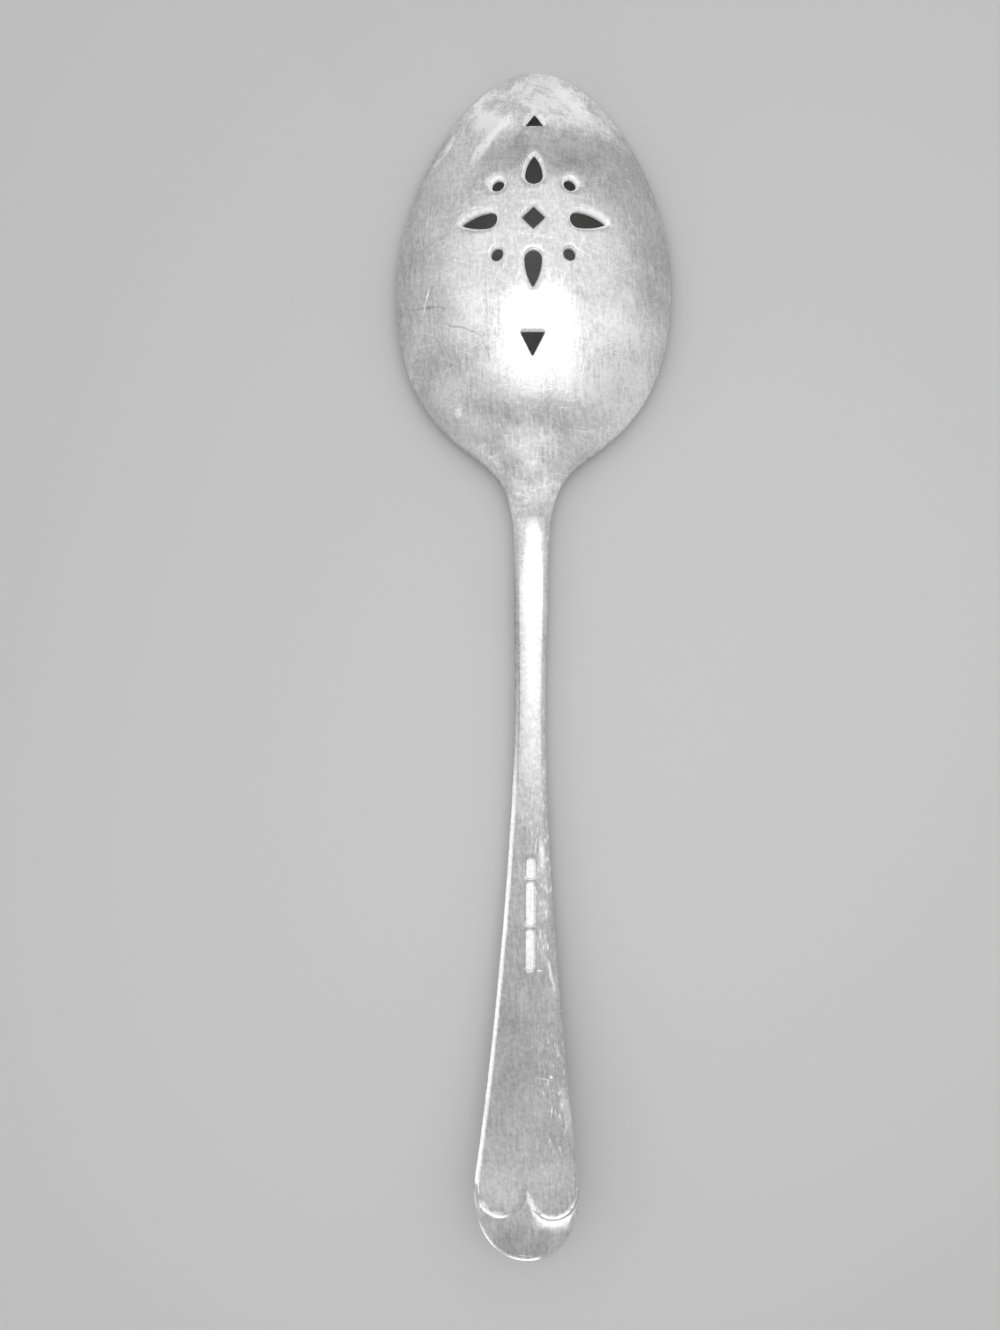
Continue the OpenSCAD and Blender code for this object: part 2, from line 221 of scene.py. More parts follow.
# Fineness of the meshes
CURVE_SAMPLES = 800
SEARCH_STEPS = 30
LAY_STEPS = 5
TIP_STEPS = 80
END_STEPS = 110
LOFT_STEP = 0.0007
ROW_STEPS = 24
BEVEL_STEPS = 9
WALL_STEPS = 3
ROUND_STEPS = 4
LOOP_STEP = 0.00025
LIP_STEPS = 5
NET_STEP = {"bowl": 0.0008, "neck": 0.0006, "stem": 0.0006, "handle": 0.0006, "terminal": 0.00028}
NET_MARGIN_SHARE = 0.6
ARC_LEAST_STEPS = 4
STEP_SLACK_SHARE = 1e-6
LEAN_REACH = 0.0015
JOINED_WITHIN = 1e-8
TOLERANCE = 1e-9
MICROMETRES = 1e6
NO_POINTS = np.zeros(0, int)

# Maps and levels on the meshes that the materials read
GRAIN_MAP = "grain"
CUT_MARK = "cut"
# Level of painted shade on the points, which darkens the metal
PAINTED_SHADE_MARK = "painted_shade"
# Cut lips, hole walls and panel floors are matte and lighter, the lightness partly painted light
LIP_CUT_LEVEL = 0.8
FULL_CUT_LEVEL = 1
# Painted shade on the stem's left bevel
BEVEL_SHADE_LEVEL = 0.4
BEVEL_SHADE_FROM = 0.087
BEVEL_SHADE_TO = 0.136
BEVEL_SHADE_FADE = 0.012
# Painted shade in the crease along the scrolls' edges
LEFT_SCROLL_SHADE_LEVEL = 0.5
# Where the painted shade in the scrolls' crease ends or starts and how it fades, as shares of the way from
# the side to the cusp
RIGHT_SHADE_TO_SHARE = 0.72
RIGHT_SHADE_FADE_SHARE = 0.1
LEFT_SHADE_FROM_SHARE = 0.6
LEFT_SHADE_FADE_SHARE = 0.2


def new_object(name, data):
    """Object that is linked into the scene."""
    thing = bpy.data.objects.new(name, data)
    bpy.context.scene.collection.objects.link(thing)
    return thing


def mix(a, b, share):
    """Value between a, where share is 0, and b, where it is 1."""
    return a * (1 - share) + b * share


def smooth(share):
    """Smooth step from 0 to 1 as share goes from 0 to 1."""
    share = np.clip(share, 0, 1)
    return share * share * (3 - 2 * share)


def outline_curves():
    """Curves of the outline as four control points each, in distance from the tip and half width."""
    shoulder_turn = np.array([math.cos(SHOULDER_ANGLE), -math.sin(SHOULDER_ANGLE)])
    flare_turn = np.array([math.cos(FLARE_ANGLE), math.sin(FLARE_ANGLE)])
    along = np.array([1, 0])
    across = np.array([0, 1])
    side_run = SHOULDER_AT - WIDEST_AT
    neck_run = NECK_AT - SHOULDER_AT
    waist_run = WAIST_AT - NECK_AT
    flare_run = FLARE_AT - WAIST_AT
    stops = np.array([
        (0, 0),
        (WIDEST_AT, BOWL_WIDTH / 2),
        (SHOULDER_AT, SHOULDER_WIDTH / 2),
        (NECK_AT, NECK_WIDTH / 2),
        (WAIST_AT, WAIST_WIDTH / 2),
        (FLARE_AT, FLARE_WIDTH / 2),
        (LENGTH, 0),
    ])
    reaches = [
        (across * BOWL_WIDTH / 2 * TIP_ROUND_SHARE, along * WIDEST_AT * TIP_REACH_SHARE),
        (along * side_run * SIDE_REACH_SHARE, shoulder_turn * side_run * SHOULDER_SIDE_SHARE),
        (shoulder_turn * neck_run * SHOULDER_NECK_SHARE, along * neck_run * NECK_REACH_SHARE),
        (along * waist_run * WAIST_REACH_SHARE, along * waist_run * WAIST_REACH_SHARE),
        (along * flare_run * FLARE_START_SHARE, flare_turn * flare_run * FLARE_END_SHARE),
        (flare_turn * END_LENGTH * END_SIDE_SHARE, -across * FLARE_WIDTH / 2 * END_ROUND_SHARE),
    ]
    return [(a, a + go, b - come, b) for a, b, (go, come) in zip(stops, stops[1:], reaches)]


def sample_outline():
    """Places, half widths and steps inwards for a unit of edge width, at many points of the outline.
    The step is square to the outline at both round ends and goes straight across between them."""
    curves = outline_curves()
    share = np.linspace(0, 1, CURVE_SAMPLES)[:, None]
    rest = 1 - share
    rows = []
    for i, (a, b, c, d) in enumerate(curves):
        point = rest**3 * a + 3 * rest**2 * share * b + 3 * rest * share**2 * c + share**3 * d
        turn = rest**2 * (b - a) + 2 * rest * share * (c - b) + share**2 * (d - c)
        turn /= np.linalg.norm(turn, axis=1)[:, None]
        if i in (0, len(curves) - 1):
            step = np.stack([turn[:, 1], -turn[:, 0]], axis=1)
        else:
            step = np.stack([0 * turn[:, 0], -1 / turn[:, 0]], axis=1)
        rows.append(np.hstack([point, step]))
    return np.vstack(rows).T


SAMPLE_AT, SAMPLE_HALF, SAMPLE_STEP_AT, SAMPLE_STEP_HALF = sample_outline()


def inset_point(at, inset):
    """Place and half width of the outline point at a place, moved inwards."""
    half = np.interp(at, SAMPLE_AT, SAMPLE_HALF)
    return (at + inset * np.interp(at, SAMPLE_AT, SAMPLE_STEP_AT),
            half + inset * np.interp(at, SAMPLE_AT, SAMPLE_STEP_HALF))


def inset_half(at, inset):
    """Half width, at a place, of the outline that is drawn in by inset."""
    moved_at = SAMPLE_AT + inset * SAMPLE_STEP_AT
    return np.interp(at, moved_at, SAMPLE_HALF + inset * SAMPLE_STEP_HALF)


def profile(knots, at):
    """Heights at places along a curve through knots of place, height and slope."""
    knots = np.asarray(knots)
    knot = np.clip(np.searchsorted(knots[:, 0], at, side="right") - 1, 0, len(knots) - 2)
    start, start_height, start_slope = knots[knot].T
    stop, stop_height, stop_slope = knots[knot + 1].T
    run = stop - start
    share = (np.asarray(at).T - start) / run
    rest = 1 - share
    height = start_height + (stop_height - start_height) * share * share * (3 - 2 * share)
    return (height + run * share * rest * (start_slope * rest - stop_slope * share)).T


FRONT_EDGE = [
    (0, 0, TIP_RIM_SLOPE),
    (WIDEST_AT, RIM_RISE, WIDEST_RIM_SLOPE),
    (SHOULDER_AT, SHOULDER_RISE, SHOULDER_RIM_SLOPE),
    (NECK_AT, NECK_RISE, NECK_RIM_SLOPE),
    (REST_AT, -REST_DEPTH, 0),
    (TERMINAL_FROM, HANDLE_RISE, math.tan(HANDLE_ANGLE)),
    (LENGTH, END_RISE, math.tan(END_ANGLE)),
]
BACK = [
    (0, 0, math.tan(TIP_ANGLE)),
    (CROWN_AT, BOWL_HEIGHT, 0),
    (SHOULDER_AT, HEEL_HEIGHT, -math.tan(HEEL_ANGLE)),
    (NECK_AT, NECK_RISE + STEM_THICKNESS, NECK_BACK_SLOPE),
    (REST_AT, STEM_THICKNESS, 0),
    (TERMINAL_FROM, HANDLE_RISE + HANDLE_THICKNESS, math.tan(HANDLE_ANGLE)),
    (LENGTH, END_RISE + END_THICKNESS, math.tan(END_ANGLE)),
]
HOLLOW = [
    (RIM_WIDTH, profile(FRONT_EDGE, RIM_WIDTH), math.tan(TIP_ANGLE)),
    (CROWN_AT, BOWL_HEIGHT - BOWL_WALL, 0),
    (SHOULDER_AT, HEEL_HEIGHT - HEEL_WALL, HEEL_HOLLOW_SLOPE),
    (THROAT_AT, profile(FRONT_EDGE, THROAT_AT), SHOULDER_RIM_SLOPE),
]


def bar_share(at):
    """How far the section has turned from a bowl into a bar."""
    return smooth((at - BAR_START) / (BAR_FULL - BAR_START))


def edge_height(at):
    """Height of the lower edge of the side wall."""
    return profile(FRONT_EDGE, at) + FRONT_BEVEL * bar_share(at)


def bulge(share):
    """Height of the bowl's section over its edges, for a share of its half width."""
    return np.maximum(0, 1 - share**2) ** (SECTION_POWER / 2)


def bowl_height(x, at):
    """Height of the back in a bowl's section."""
    half = np.maximum(np.interp(at, SAMPLE_AT, SAMPLE_HALF), RIM_ROUND)
    return mix(edge_height(at), profile(BACK, at), bulge(x / half))


# Relief along the edge of the two scrolls
def scroll_distance(x, at):
    """Distance from the edge of the scrolls and their groove, positive on the raised side."""
    x = np.abs(x)
    along = at - SCROLL_AT
    groove = np.hypot(x, np.minimum(at - SCROLL_CUSP_AT, 0))
    above = np.minimum(groove, np.hypot(x - 2 * SCROLL_RADIUS, along))
    return np.where(along < 0, above, SCROLL_RADIUS - np.hypot(x - SCROLL_RADIUS, along))


def scroll_relief(x, at):
    """Height over the plain back: a raised lip, a wall and a hollow ramp below it. The wall is steep
    on the right, worn to a chamfer without a lip on the left, and narrow at the cusp."""
    distance = scroll_distance(x, at)
    worn = smooth((SCROLL_CRISP_AT - x) / (SCROLL_CRISP_AT - SCROLL_WORN_AT))
    size = mix(SCROLL_CUSP_SHARE, 1, smooth(np.hypot(x, at - SCROLL_CUSP_AT) / SCROLL_CUSP_FADE))
    width = mix(SCROLL_WALL, SCROLL_WORN_WALL, worn) * size
    step = mix(SCROLL_STEP, SCROLL_WORN_STEP, worn) * size
    low = mix(SCROLL_LOW, SCROLL_WORN_STEP, worn) * size
    crest = SCROLL_LIP * (1 - worn)
    lip = crest * smooth(1 - (distance - width) / SCROLL_LIP_WIDTH)
    rise = np.clip(distance / width, 0, 1)
    wall = mix(-step, crest, mix(smooth(rise), rise, worn))
    ramp = -low - (step - low) * np.maximum(0, 1 + distance / SCROLL_RAMP) ** 2
    return np.select([distance > width, distance > 0], [lip, wall], ramp)


# Back of a section at a share of its half, from its edge at 0 to its middle at 1
def bevel(share):
    """Inset and drop of the rounded edge."""
    turn = np.clip((share - WALL_SHARE) / (TOP_SHARE - WALL_SHARE), 0, 1) * math.pi / 2
    inset = BACK_BEVEL * (1 - np.cos(turn) ** BEVEL_POWER)
    drop = BACK_BEVEL_HEIGHT * (1 - np.sin(turn) ** BEVEL_POWER)
    return inset, drop


def bowl_across(half, share):
    """Distance from the middle in a bowl's section."""
    return half * np.cos(math.pi / 2 * share)


def bar_across(half, share):
    """Distance from the middle in a bar's section."""
    return half * np.minimum(1, (1 - share) / (1 - TOP_SHARE))


def bar_height(at, share):
    """Height of the side and the back in a bar's section."""
    top = profile(BACK, at) - bevel(share)[1] - BACK_CROWN * bar_across(1, share) ** 2
    return mix(edge_height(at) + RIM_ROUND, top, np.clip(share / WALL_SHARE, 0, 1))


def edge_point(at, share, side):
    """Distance from the middle, place and height at a share of a half section, right where side is 1."""
    bowl_at, bowl_half = inset_point(at, RIM_ROUND)
    bar_at, bar_half = inset_point(at, bevel(share)[0])
    bar = bar_share(at)
    bowl_x, bar_x = bowl_across(bowl_half, share), bar_across(bar_half, share)
    z = mix(bowl_height(bowl_x, bowl_at), bar_height(bar_at, share), bar)
    x, at = mix(bowl_x, bar_x, bar), mix(bowl_at, bar_at, bar)
    low, top = edge_height(at), profile(BACK, at)
    return x, at, z + scroll_relief(side * x, at) * np.clip((z - low) / (top - low), 0, 1)


def back_height(x, at):
    """Height of the back's middle part over a point."""
    bowl_half = inset_half(at, RIM_ROUND)
    bar_half = inset_half(at, BACK_BEVEL)
    bar = bar_share(at)
    low, high = np.zeros_like(x), np.ones_like(x)
    for _ in range(SEARCH_STEPS):
        share = (low + high) / 2
        wide = mix(bowl_across(bowl_half, share), bar_across(bar_half, share), bar) > np.abs(x)
        low, high = np.where(wide, share, low), np.where(wide, high, share)
    bowl = bowl_height(bowl_across(bowl_half, low), at)
    return mix(bowl, bar_height(at, low), bar) + scroll_relief(x, at)


def front_inset(at):
    """Width of the bowl's rim, or of the bar's lower bevel."""
    return mix(RIM_WIDTH, FRONT_BEVEL, bar_share(at))


def front_height(x, at):
    """Height of the front over a point, hollow in the bowl and flat on the table under the stem."""
    half = np.maximum(inset_half(at, front_inset(SAMPLE_AT)), RIM_ROUND)
    edge = profile(FRONT_EDGE, at)
    depth = np.where(at < THROAT_AT, profile(HOLLOW, np.maximum(at, RIM_WIDTH)) - edge, 0)
    return np.maximum(edge + np.maximum(depth, 0) * bulge(np.minimum(np.abs(x) / half, 1)), 0)


def place(x, at, z):
    """Points of the spoon from distances across, places from the tip and heights."""
    return np.stack(np.broadcast_arrays(x, TIP_Y - at, z), axis=-1)


def round_corner(start, corner, stop):
    """Points along a rounded corner, from start to stop."""
    share = np.linspace(0, 1, ROUND_STEPS + 1)[:, None, None]
    rest = 1 - share
    return rest**2 * start + 2 * rest * share * corner + share**2 * stop


def edge_strip(at, end_side):
    """Rows of points, one for each station, from the top of the right edge round to the front.
    Where end_side is -1, they follow the relief on the left."""
    bevel_shares = np.linspace(TOP_SHARE, WALL_SHARE, BEVEL_STEPS + 1)[:-1]
    wall_shares = np.linspace(WALL_SHARE, 0, WALL_STEPS + 1)
    side_shares = np.concatenate([bevel_shares, wall_shares])
    side = [place(*edge_point(at, share, end_side)) for share in side_shares]
    half = np.interp(at, SAMPLE_AT, SAMPLE_HALF)
    corner = place(half, at, np.maximum(edge_height(at), 0))
    land_at, land_half = inset_point(at, front_inset(at))
    land = place(land_half, land_at, np.maximum(profile(FRONT_EDGE, land_at), 0))
    front_at, front_half = inset_point(at, front_inset(at) + LAND_ROUND)
    front = place(front_half, front_at, front_height(front_half, front_at))
    along_land = (land - corner) / np.linalg.norm(land - corner, axis=1)[:, None]
    outer = round_corner(side[-1], corner, corner + along_land * RIM_ROUND)
    inner = round_corner(land - along_land * LAND_ROUND, land, front)
    return np.stack([*side, *outer[1:], *inner], axis=1)


def mirrored(points):
    return points * np.array([-1, 1, 1])


def in_loop(points, loop):
    """Which points lie inside a closed loop, seen from above."""
    x, y = points[:, 0, None], points[:, 1, None]
    start, stop = loop, np.roll(loop, -1, axis=0)
    rise = stop[:, 1] - start[:, 1]
    crosses = (start[:, 1] > y) != (stop[:, 1] > y)
    crossing = start[:, 0] + (y - start[:, 1]) / np.where(rise == 0, 1, rise) * (stop[:, 0] - start[:, 0])
    return ((x < crossing) & crosses).sum(axis=1) % 2 == 1


def pairs(row, closed):
    """Neighbouring pairs along a row of numbers."""
    row = list(row)
    return list(zip(row, row[1:] + row[:1])) if closed else list(zip(row, row[1:]))


class Shell:
    """Closed skin of one piece: points, faces, sharp edges, and rows of points that are cut or carry
    painted shade.
    """

    def __init__(self):
        self.points = np.zeros((0, 3))
        self.faces = []
        self.sharp = []
        self.cut = []
        self.painted_shade = []

    def add(self, points):
        """Adds an array of points and returns their numbers in the same array."""
        first = len(self.points)
        flat = np.reshape(points, (-1, 3))
        self.points = np.vstack([self.points, flat])
        return np.arange(first, first + len(flat)).reshape(np.shape(points)[:-1])

    def grid(self, numbers, closed=False):
        """Faces between neighbouring rows of points."""
        for low, high in zip(numbers, numbers[1:]):
            for (a, b), (d, c) in zip(pairs(low, closed), pairs(high, closed)):
                self.faces.append((a, b, c, d))

    def patch(self, boundary, step, height, loops=(), creases=(), beside=NO_POINTS):
        """Fills a boundary, seen from above, with a net of triangles that leaves out the loops
        and follows the creases, with the points beside them. The net's heights come from a function."""
        border = self.points[boundary]
        fixed = [boundary, *loops, *creases]
        loop_points = [self.points[loop] for loop in loops]
        net = self.net_points(border, loop_points, np.concatenate([*fixed, beside]), step)
        x, at = net[:, 0], TIP_Y - net[:, 1]
        inner = np.concatenate([beside, self.add(place(x, at, height(x, at)))])
        numbers = np.concatenate([*fixed, inner])
        flat = self.points[numbers][:, :2] * MICROMETRES
        edges, first = [], 0
        for row in fixed:
            closed = not any(row is crease for crease in creases)
            edges += pairs(range(first, first + len(row)), closed)
            first += len(row)
        flat = [Vector(point) for point in flat]
        points, _, faces, origins, *_ = delaunay_2d_cdt(flat, edges, [], 0, TOLERANCE * MICROMETRES)
        middles = np.array([sum((points[i] for i in face), Vector((0, 0))) / 3 for face in faces])
        keep = in_loop(middles, border[:, :2] * MICROMETRES)
        for loop in loop_points:
            keep &= ~in_loop(middles, loop[:, :2] * MICROMETRES)
        for face in np.flatnonzero(keep):
            self.faces.append(tuple(numbers[origins[i][0]] for i in faces[face]))

    def net_points(self, border, loops, fixed, step):
        """Even net of points inside a border, clear of the fixed points and of the loops."""
        low, high = border.min(axis=0), border.max(axis=0)
        row_step = step * math.sqrt(3) / 2
        rows = np.arange(low[1], high[1], row_step)
        columns = np.arange(low[0], high[0], step)
        x, y = np.meshgrid(columns, rows)
        x[1::2] += step / 2
        net = np.stack([x.ravel(), y.ravel()], axis=1)
        net = net[in_loop(net, border)]
        for loop in loops:
            net = net[~in_loop(net, loop)]
        gaps = np.linalg.norm(net[:, None] - self.points[fixed][None, :, :2], axis=2).min(axis=1)
        return net[gaps > step * NET_MARGIN_SHARE]

    def cap(self, ring):
        """Flat end face inside a ring, with a sharp edge."""
        self.faces.append(tuple(ring))
        self.sharp += pairs(ring, True)

    def build(self, name, material):
        """Makes the object, with points that coincide joined."""
        keys = np.round(self.points / JOINED_WITHIN).astype(np.int64)
        _, first, same = np.unique(keys, axis=0, return_index=True, return_inverse=True)
        number = first[same.ravel()]
        faces = []
        for face in self.faces:
            around = [number[i] for i in face]
            around = [point for i, point in enumerate(around) if point != around[i - 1]]
            if len(set(around)) > 2:
                faces.append(around)
        used = np.unique(np.concatenate(faces))
        renumber = np.zeros(len(self.points), int)
        renumber[used] = np.arange(len(used))
        mesh = bpy.data.meshes.new(name)
        mesh.from_pydata(self.points[used].tolist(), [], [renumber[face].tolist() for face in faces])
        final = renumber[number]
        finish_mesh(mesh, {frozenset((int(final[a]), int(final[b]))) for a, b in self.sharp})
        mark_points(mesh, CUT_MARK, self.cut, final)
        mark_points(mesh, PAINTED_SHADE_MARK, self.painted_shade, final)
        lay_flat(mesh)
        mesh.materials.append(material)
        return new_object(name, mesh)


def mark_points(mesh, name, rows, numbers):
    """Gives the points of the rows a level between 0 and 1 that the material reads."""
    levels = np.zeros(len(mesh.vertices), np.float32)
    for row, level in rows:
        levels[numbers[row.ravel()]] = level
    mesh.attributes.new(name, "FLOAT", "POINT").data.foreach_set("value", levels)


def lay_flat(mesh):
    """Map whose first axis runs across the spoon, for the grain of the polish."""
    layer = mesh.uv_layers.new(name=GRAIN_MAP)
    corners = np.zeros(len(mesh.loops), int)
    mesh.loops.foreach_get("vertex_index", corners)
    points = np.zeros(len(mesh.vertices) * 3)
    mesh.vertices.foreach_get("co", points)
    flat = points.reshape(-1, 3)[corners, :2] / LENGTH
    layer.data.foreach_set("uv", flat.ravel())


def finish_mesh(mesh, sharp):
    """Turns the faces outwards and makes them smooth but for the sharp edges."""
    work = bmesh.new()
    work.from_mesh(mesh)
    bmesh.ops.recalc_face_normals(work, faces=work.faces)
    for face in work.faces:
        face.smooth = True
    for edge in work.edges:
        edge.smooth = frozenset(point.index for point in edge.verts) not in sharp
    work.to_mesh(mesh)
    work.free()


# Convex shapes as arcs: centre, radius, and the angles in degrees between which each runs
def drop_arcs(length):
    """Drop with its point along the second axis."""
    radius = DROP_WIDTH / 2 - LIP_INSET
    length -= 2 * LIP_INSET
    reach = length - radius
    side = (radius**2 + reach**2) / (2 * radius)
    point = math.sqrt((side - CORNER_RADIUS) ** 2 - (side - radius) ** 2)
    lean = math.degrees(math.atan2(point, side - radius))
    base = radius - length / 2
    return [
        ((0, base), radius, -180, 0),
        ((radius - side, base), side, 0, lean),
        ((0, base + point), CORNER_RADIUS, lean, 180 - lean),
        ((side - radius, base), side, 180 - lean, 180),
    ]


def polygon_arcs(corners, radius):
    """Polygon, given anticlockwise, with round corners."""
    corners = np.asarray(corners, float)
    arcs = []
    for before, corner, after in zip(np.roll(corners, 1, axis=0), corners, np.roll(corners, -1, axis=0)):
        come, go = corner - before, after - corner
        start = math.degrees(math.atan2(-come[0], come[1]))
        turn = math.degrees(math.atan2(come[0] * go[1] - come[1] * go[0], come @ go))
        normal = math.radians(start + turn / 2)
        back = radius / math.cos(math.radians(turn / 2))
        centre = corner - back * np.array([math.cos(normal), math.sin(normal)])
        arcs.append((centre, radius, start, start + turn))
    return arcs


def arc_loop(arcs):
    """Points and outward normals round a convex shape, at even steps."""
    points, normals = [], []
    for (centre, radius, start, stop), (next_centre, next_radius, next_start, _) in pairs(arcs, True):
        steps = max(ARC_LEAST_STEPS, math.ceil(math.radians(stop - start) * radius / LOOP_STEP))
        angles = np.radians(np.linspace(start, stop, steps + 1))
        around = np.stack([np.cos(angles), np.sin(angles)], axis=1)
        points.append(np.asarray(centre) + radius * around)
        normals.append(around)
        onward = np.radians(next_start)
        goal = np.asarray(next_centre) + next_radius * np.array([math.cos(onward), math.sin(onward)])
        gap = goal - points[-1][-1]
        steps = math.ceil(np.linalg.norm(gap) / LOOP_STEP - STEP_SLACK_SHARE)
        if steps < 1:
            points[-1], normals[-1] = points[-1][:-1], normals[-1][:-1]
            continue
        between = np.linspace(0, 1, steps + 1)[1:-1, None]
        points.append(points[-1][-1] + between * gap)
        normals.append(np.repeat(around[-1:], len(between), axis=0))
    return np.vstack(points), np.vstack(normals)


class Spot:
    """Frame on the back at a point, with its third axis square to the surface and a turn in degrees."""

    def __init__(self, x, at, turn=0):
        lean_x = back_height(np.array([x - LEAN_REACH, x + LEAN_REACH]), np.array([at, at]))
        lean_at = back_height(np.array([x, x]), np.array([at - LEAN_REACH, at + LEAN_REACH]))
        self.up = np.array([lean_x[0] - lean_x[1], lean_at[1] - lean_at[0], 2 * LEAN_REACH])
        self.up /= np.linalg.norm(self.up)
        across = np.array([self.up[2], 0, -self.up[0]])
        across /= np.linalg.norm(across)
        along = np.cross(self.up, across)
        turn = math.radians(turn)
        self.across = math.cos(turn) * across + math.sin(turn) * along
        self.along = math.cos(turn) * along - math.sin(turn) * across
        self.centre = place(x, at, back_height(np.array([x]), np.array([at]))[0])

    def loop(self, flat, height, lift):
        """Flat shape laid on a surface along the third axis, and lifted from it."""
        points = self.centre + flat[:, :1] * self.across + flat[:, 1:] * self.along
        for _ in range(LAY_STEPS):
            gap = height(points[:, 0], TIP_Y - points[:, 1]) - points[:, 2]
            points = points + gap[:, None] * self.up[2] * self.up
        return points + lift * self.up


def lip(spot, arcs, width, drop, height, side):
    """Loops round a worn lip, from the surface into the hole. Side is 1 on the back and -1 on the front."""
    points, normals = arc_loop(arcs)
    loops = []
    for turn in np.linspace(0, math.pi / 2, LIP_STEPS + 1):
        flat = points + width * (1 - math.sin(turn) ** LIP_POWER) * normals
        loops.append(spot.loop(flat, height, -side * drop * (1 - math.cos(turn) ** LIP_POWER)))
    return loops


def pierce(shell, spot, arcs, lip_share):
    """Hole through the wall. Returns the loops that the back and the front leave out."""
    back = lip(spot, arcs, LIP_WIDTH * lip_share, LIP_DROP * lip_share, back_height, 1)
    front = lip(spot, arcs, FRONT_LIP_RADIUS, FRONT_LIP_RADIUS, front_height, -1)
    numbers = shell.add(np.stack(back + front[::-1]))
    shell.grid(numbers, closed=True)
    # Lips and walls are marked cut: matte, and lighter partly as painted light
    shell.cut.append((numbers[1:-1], LIP_CUT_LEVEL * lip_share**2))
    shell.cut.append((numbers[len(back) - 1:len(back) + 1], FULL_CUT_LEVEL))
    return numbers[0], numbers[-1]


def triangle_arcs(width, height):
    """Triangle about its centre, with its top along the second axis."""
    base = -height / 3
    return polygon_arcs([(-width / 2, base), (width / 2, base), (0, base + height)], CORNER_RADIUS)


def piercings(shell):
    """All the holes in the bowl. Returns the loops that its back and its front leave out."""
    half = DIAMOND_WIDTH / 2
    diamond = polygon_arcs([(half, 0), (0, half), (-half, 0), (0, -half)], CORNER_RADIUS)
    circle = [((0, 0), HOLE_DIAMETER / 2 - LIP_INSET, 0, 360)]
    side_drop = drop_arcs(SIDE_DROP_LENGTH)
    tip_triangle = triangle_arcs(TIP_TRIANGLE_WIDTH, TIP_TRIANGLE_HEIGHT)
    heel_triangle = triangle_arcs(HEEL_TRIANGLE_WIDTH, HEEL_TRIANGLE_HEIGHT)
    holes = [
        (Spot(0, PATTERN_AT), diamond, MIDDLE_LIP_SHARE),
        (Spot(0, PATTERN_AT - TIP_DROP_AT), drop_arcs(TIP_DROP_LENGTH), 1),
        (Spot(0, PATTERN_AT + HEEL_DROP_AT, 180), drop_arcs(HEEL_DROP_LENGTH), HEEL_LIP_SHARE),
        (Spot(0, PATTERN_AT - TIP_TRIANGLE_AT), tip_triangle, 1),
        (Spot(0, PATTERN_AT + HEEL_TRIANGLE_AT, 180), heel_triangle, LAST_LIP_SHARE),
    ]
    for side in (-1, 1):
        holes.append((Spot(side * SIDE_DROP_AT, PATTERN_AT, -90 * side), side_drop, 1))
        holes.append((Spot(side * HOLE_OFFSET, PATTERN_AT - HOLE_OFFSET), circle, 1))
        holes.append((Spot(side * HOLE_OFFSET, PATTERN_AT + HOLE_OFFSET), circle, HEEL_LIP_SHARE))
    loops = [pierce(shell, *hole) for hole in holes]
    return [back for back, _ in loops], [front for _, front in loops]


def sink_panels(shell):
    """Three blank sunk panels. Returns the loops that the back leaves out."""
    loops = []
    at = HANDLE_FROM + PANELS_INSET
    for length in PANEL_LENGTHS:
        x, y = PANEL_WIDTH / 2, length / 2
        points, normals = arc_loop(polygon_arcs([(-x, -y), (x, -y), (x, y), (-x, y)], PANEL_CORNER))
        spot = Spot(PANEL_OFFSET, at + length / 2)
        rows = []
        for share in np.linspace(0, 1, LIP_STEPS + 1):
            flat = points + PANEL_WALL * (1 - 2 * share) * normals
            rows.append(spot.loop(flat, back_height, -PANEL_DEPTH * smooth(share)))
        rows.append(spot.loop(points - (PANEL_WALL + PANEL_RIM) * normals, back_height, -PANEL_DEPTH))
        numbers = shell.add(np.stack(rows))
        shell.grid(numbers, closed=True)
        shell.patch(numbers[-1], PANEL_WIDTH, back_height)
        # Panel floors are marked cut: matte, and lighter partly as painted light
        shell.cut.append((numbers[-1], FULL_CUT_LEVEL))
        loops.append(numbers[0])
        at += length + PANEL_GAP
    return loops


def scroll_arc(offset, side):
    """Points on the back along the edge of one scroll, moved by an offset to its raised side."""
    radius = SCROLL_RADIUS - offset
    turn = np.linspace(0, math.pi, math.ceil(math.pi * radius / SCROLL_ARC_STEP))
    x = SCROLL_RADIUS + radius * np.cos(turn)
    at = SCROLL_AT + radius * np.sin(turn)
    fits = (x < inset_half(at, BACK_BEVEL) - SCROLL_WALL) & (x > -TOLERANCE)
    x, at = side * x[fits], at[fits]
    return place(x, at, back_height(x, at))


def scroll_groove(x):
    """Points on the back beside the groove above the cusp, at a distance from the middle."""
    at = np.linspace(SCROLL_AT, SCROLL_CUSP_AT, math.ceil(SCROLL_CUSP_RUN / SCROLL_ARC_STEP))
    x = np.full_like(at, x)
    return place(x, at, back_height(x, at))


def scroll_lines(shell):
    """Lines along the scrolls' edges and the groove, and points that follow the relief beside them."""
    creases = [shell.add(line) for line in (scroll_arc(0, 1), scroll_arc(0, -1), scroll_groove(0))]
    lines = [scroll_arc(offset, side) for offset in SCROLL_OFFSETS for side in (1, -1)]
    lines += [scroll_groove(side * offset) for offset in GROOVE_OFFSETS for side in (1, -1)]
    beside = np.vstack(lines)
    beside = beside[np.abs(beside[:, 0]) > SCROLL_WALL / 2]
    return creases, shell.add(beside)


def scroll_crease_shade(count):
    """Painted shade in the crease along the edges of the right and the left scroll, from the side to the
    cusp.
    """
    shares = np.linspace(0, 1, count)
    right = smooth((RIGHT_SHADE_TO_SHARE - shares) / RIGHT_SHADE_FADE_SHARE)
    left = smooth((shares - LEFT_SHADE_FROM_SHARE) / LEFT_SHADE_FADE_SHARE)
    return right, LEFT_SCROLL_SHADE_LEVEL * left


